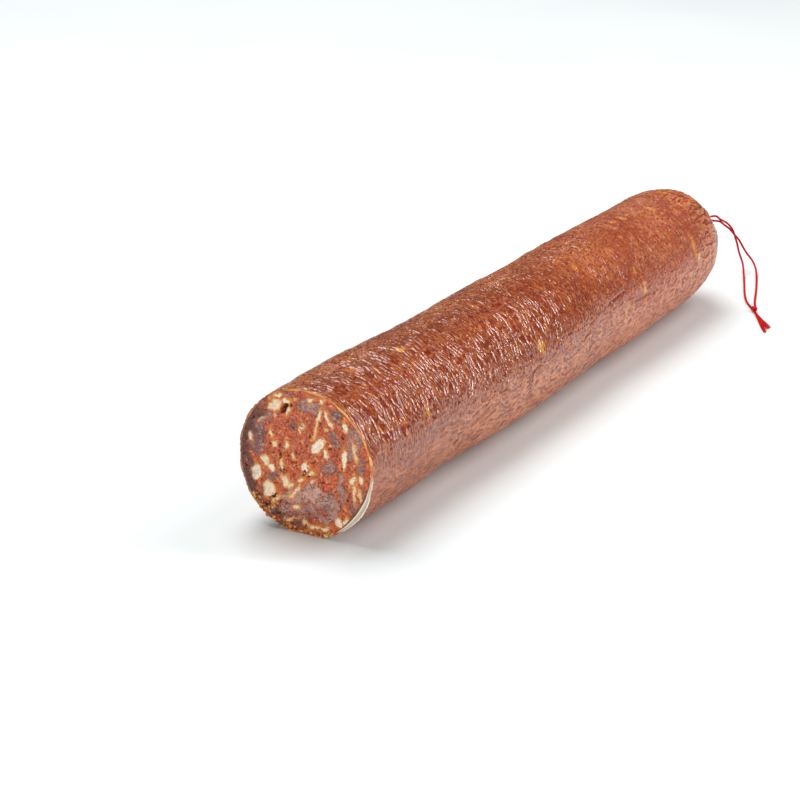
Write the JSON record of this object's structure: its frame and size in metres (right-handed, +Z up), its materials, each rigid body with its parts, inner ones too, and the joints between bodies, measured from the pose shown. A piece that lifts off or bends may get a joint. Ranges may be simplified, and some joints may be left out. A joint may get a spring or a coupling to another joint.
{
  "type": "cured sausage",
  "caption": "Long round cured sausage in a wrinkled casing, cut straight across at one end, rounded and gathered at the other, with a thin hanging loop of red twine.",
  "frame": {"origin": "bottom centre of the sausage's bounding box on the table, without the free twine loop", "axes": "+X along the sausage from the cut face to the tied end, +Y to the left of someone who looks along +X, +Z up"},
  "size_m": [0.4283, 0.0976, 0.0614],
  "materials": {
    "casing": "thin dry wrinkled sausage casing, reddish brown with a waxy shine on its ridges",
    "meat": "coarse cured meat, moist red-brown with purple lean and cream fat pieces",
    "twine": "bright red twisted cotton twine"
  },
  "bodies": {
    "root": {"casing": "casing", "meat": "meat", "tie": "twine", "string_a": "twine", "string_b": "twine", "string_knot": "twine", "string_tail": "twine"}
  },
  "joints": []
}
